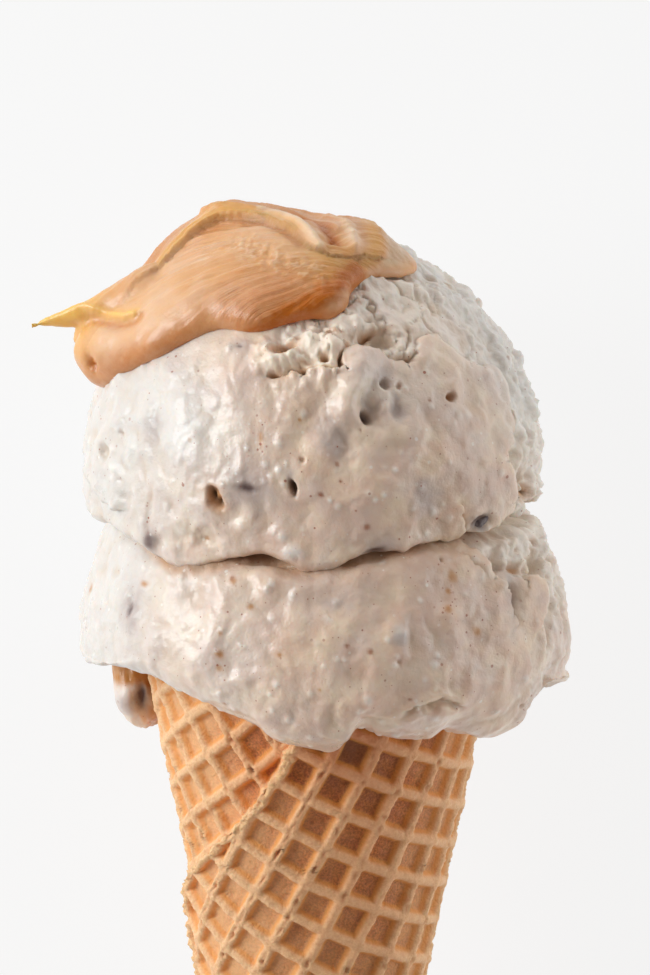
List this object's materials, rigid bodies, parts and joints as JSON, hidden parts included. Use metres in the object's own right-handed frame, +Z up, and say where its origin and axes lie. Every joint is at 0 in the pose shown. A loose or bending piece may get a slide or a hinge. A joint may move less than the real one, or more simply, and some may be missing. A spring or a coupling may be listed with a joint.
{
  "type": "ice cream cone",
  "caption": "Rolled waffle cone with stacked scoops of flecked ice cream and a draped dollop of caramel spread, lying on the backs of its scoops.",
  "frame": {"origin": "centre of the bounding box in plan, on the surface that the scoops rest on", "axes": "+Z up, away from the resting surface and through the side served to the front; +Y along the cone's axis from its tip to the top scoop; +X to the right seen from the front"},
  "size_m": [0.0758, 0.1884, 0.0687],
  "materials": {
    "wafer": "matte",
    "ice_cream": "satin",
    "ice_cream_upper": "satin",
    "spread": "satin"
  },
  "bodies": {
    "root": {"wafer_cone": "wafer", "scoop_lower": "ice_cream", "scoop_upper": "ice_cream_upper", "spread_dollop": "spread"}
  },
  "joints": []
}
